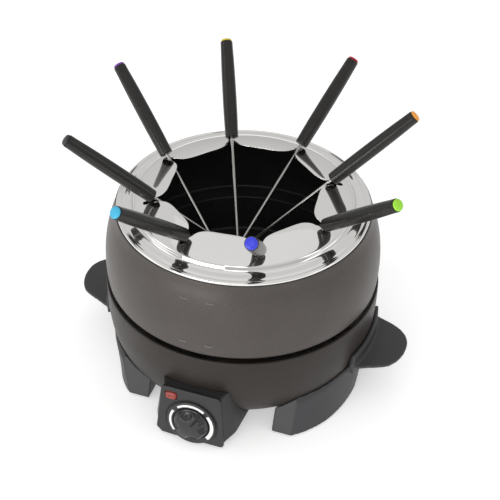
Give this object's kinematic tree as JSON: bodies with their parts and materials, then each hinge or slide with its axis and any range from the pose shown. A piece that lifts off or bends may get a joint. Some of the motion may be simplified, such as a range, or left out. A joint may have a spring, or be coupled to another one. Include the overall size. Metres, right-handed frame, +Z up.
{
  "type": "electric fondue pot set",
  "caption": "Electric fondue set: lift-out round pot on a heated base with side handles and a dial, scalloped steel splash ring and long forks with coloured ends.",
  "frame": {"origin": "on the table, at the level of the undersides of the foot pads, under the middle of the whole set's bounding box; the pot's upright axis stands 4.4 mm in front of it, at (0, -0.0044)", "axes": "+Z up along the pot's axis; -Y is the front, where the control box is; +X and -X point out through the two side handles"},
  "size_m": [0.2836, 0.2687, 0.224],
  "materials": {
    "pot_enamel": "warm dark grey metallic stove enamel outside, black non-stick lining inside, satin",
    "base_enamel": "dark grey metallic stove enamel, satin",
    "mirror_steel": "mirror polished stainless steel sheet",
    "wire_steel": "polished stainless steel wire",
    "moulding_plastic": "dark grey moulded plastic, fine grain",
    "handle_black": "black moulded plastic, satin",
    "sheet_steel": "plain aluminised sheet",
    "cast_alloy": "cast, turned top face",
    "zinc": "zinc plated",
    "rubber": "matt",
    "ceramic_cream": "unglazed, matt",
    "lamp_red": "clear red moulded lens",
    "cap_orange": "coloured cap, satin",
    "cap_red": "coloured cap, satin",
    "cap_yellow": "coloured cap, satin",
    "cap_purple": "coloured cap, satin",
    "cap_black": "coloured cap, satin",
    "cap_cyan": "coloured cap, satin",
    "cap_blue": "coloured cap, satin",
    "cap_green": "coloured cap, satin"
  },
  "bodies": {
    "base": {"base_bowl": "base_enamel", "reflector_dish": "sheet_steel", "heater_support": "sheet_steel", "heating_plate": "cast_alloy", "heating_element": "sheet_steel", "thermal_fuse": "zinc", "terminal_block": "ceramic_cream", "bottom_cover": "sheet_steel", "cover_screw_1": "zinc", "cover_screw_2": "zinc", "cover_screw_3": "zinc", "cable_gland": "rubber", "side_moulding_right": "moulding_plastic", "side_moulding_left": "moulding_plastic", "foot_pad_front_right": "rubber", "bracket_screw_front_right": "zinc", "foot_pad_front_left": "rubber", "bracket_screw_front_left": "zinc", "foot_pad_back_right": "rubber", "bracket_screw_back_right": "zinc", "foot_pad_back_left": "rubber", "bracket_screw_back_left": "zinc", "control_fascia": "moulding_plastic", "control_housing": "moulding_plastic", "pilot_lamp_lens": "lamp_red", "pilot_lamp_holder": "ceramic_cream", "thermostat": "ceramic_cream", "mains_loom": "rubber", "control_loom": "rubber"},
    "dial": {"dial_knob": "handle_black", "dial_shaft": "zinc"},
    "pot": {"pot": "pot_enamel"},
    "ring": {"splash_ring": "mirror_steel"},
    "fork_1": {"fork_1_handle": "handle_black", "fork_1_cap": "cap_orange", "fork_1_stem": "wire_steel"},
    "fork_2": {"fork_2_handle": "handle_black", "fork_2_cap": "cap_red", "fork_2_stem": "wire_steel"},
    "fork_3": {"fork_3_handle": "handle_black", "fork_3_cap": "cap_yellow", "fork_3_stem": "wire_steel"},
    "fork_4": {"fork_4_handle": "handle_black", "fork_4_cap": "cap_purple", "fork_4_stem": "wire_steel"},
    "fork_5": {"fork_5_handle": "handle_black", "fork_5_cap": "cap_black", "fork_5_stem": "wire_steel"},
    "fork_6": {"fork_6_handle": "handle_black", "fork_6_cap": "cap_cyan", "fork_6_stem": "wire_steel"},
    "fork_7": {"fork_7_handle": "handle_black", "fork_7_cap": "cap_blue", "fork_7_stem": "wire_steel"},
    "fork_8": {"fork_8_handle": "handle_black", "fork_8_cap": "cap_green", "fork_8_stem": "wire_steel"}
  },
  "joints": [
    {"name": "pot_lift", "type": "slide", "parent": "base", "child": "pot", "axis": [0, 0, 1], "range_m": [0, 0.1]},
    {"name": "ring_lift", "type": "slide", "parent": "pot", "child": "ring", "axis": [0, 0, 1], "range_m": [0, 0.15]},
    {"name": "dial_turn", "type": "hinge", "parent": "base", "child": "dial", "pos_m": [0.0013, -0.12485, 0.0209], "axis": [0, -0.9966, 0.0825], "range_deg": [-102, 168]},
    {"name": "fork_1_pull", "type": "slide", "parent": "ring", "child": "fork_1", "axis": [0.6643, 0.3175, 0.6767], "range_m": [0, 0.17]},
    {"name": "fork_2_pull", "type": "slide", "parent": "ring", "child": "fork_2", "axis": [0.2838, 0.7394, 0.6105], "range_m": [0, 0.17]},
    {"name": "fork_3_pull", "type": "slide", "parent": "ring", "child": "fork_3", "axis": [-0.3112, 0.6846, 0.6591], "range_m": [0, 0.17]},
    {"name": "fork_4_pull", "type": "slide", "parent": "ring", "child": "fork_4", "axis": [-0.6591, 0.4199, 0.6239], "range_m": [0, 0.17]},
    {"name": "fork_5_pull", "type": "slide", "parent": "ring", "child": "fork_5", "axis": [-0.6888, -0.2983, 0.6607], "range_m": [0, 0.17]},
    {"name": "fork_6_pull", "type": "slide", "parent": "ring", "child": "fork_6", "axis": [-0.3371, -0.68, 0.6511], "range_m": [0, 0.17]},
    {"name": "fork_7_pull", "type": "slide", "parent": "ring", "child": "fork_7", "axis": [0.1659, -0.7263, 0.667], "range_m": [0, 0.17]},
    {"name": "fork_8_pull", "type": "slide", "parent": "ring", "child": "fork_8", "axis": [0.6989, -0.3188, 0.6403], "range_m": [0, 0.17]}
  ]
}
